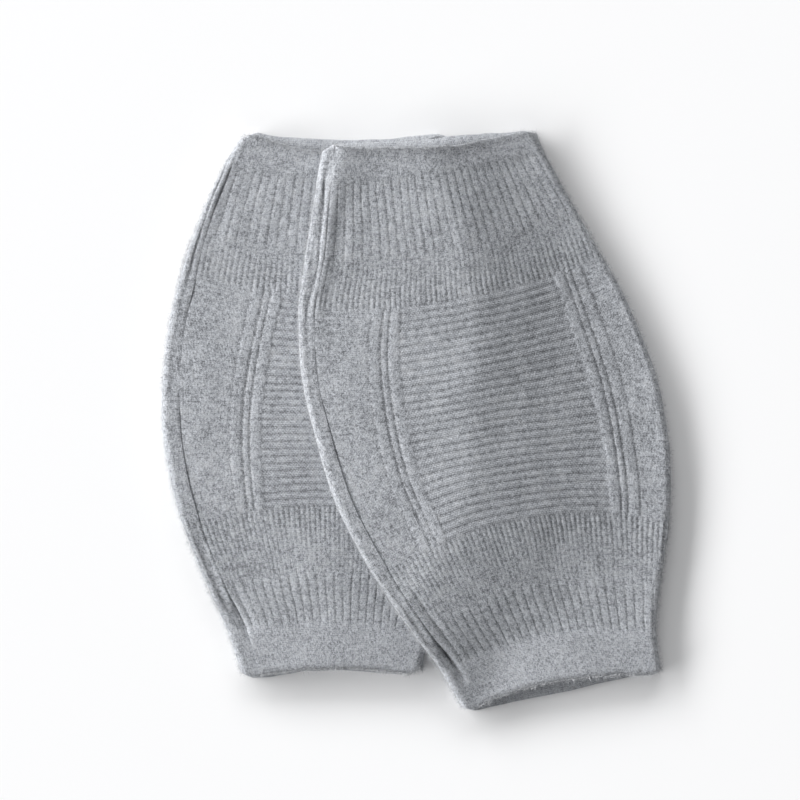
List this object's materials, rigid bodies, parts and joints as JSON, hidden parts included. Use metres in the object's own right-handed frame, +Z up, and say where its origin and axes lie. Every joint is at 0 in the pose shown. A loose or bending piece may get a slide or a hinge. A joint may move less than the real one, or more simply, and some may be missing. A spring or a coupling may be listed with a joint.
{
  "type": "pair of knee warmers",
  "caption": "Pair of ribbed knitted knee warmers laid flat, one lying partly on the other, each a soft tube that swells at the knee.",
  "frame": {"origin": "centre of the laid pair's plan, on the surface that it lies on", "axes": "+Z up from that surface; +Y towards the top hems of the garments; +X towards the warmer that lies on top"},
  "size_m": [0.2551, 0.293, 0.018],
  "materials": {
    "heather_knit": "soft matt heather grey wool knit with a light nap"
  },
  "bodies": {
    "root": {"left_front": "heather_knit", "left_back": "heather_knit", "right_front": "heather_knit", "right_back": "heather_knit"}
  },
  "joints": []
}
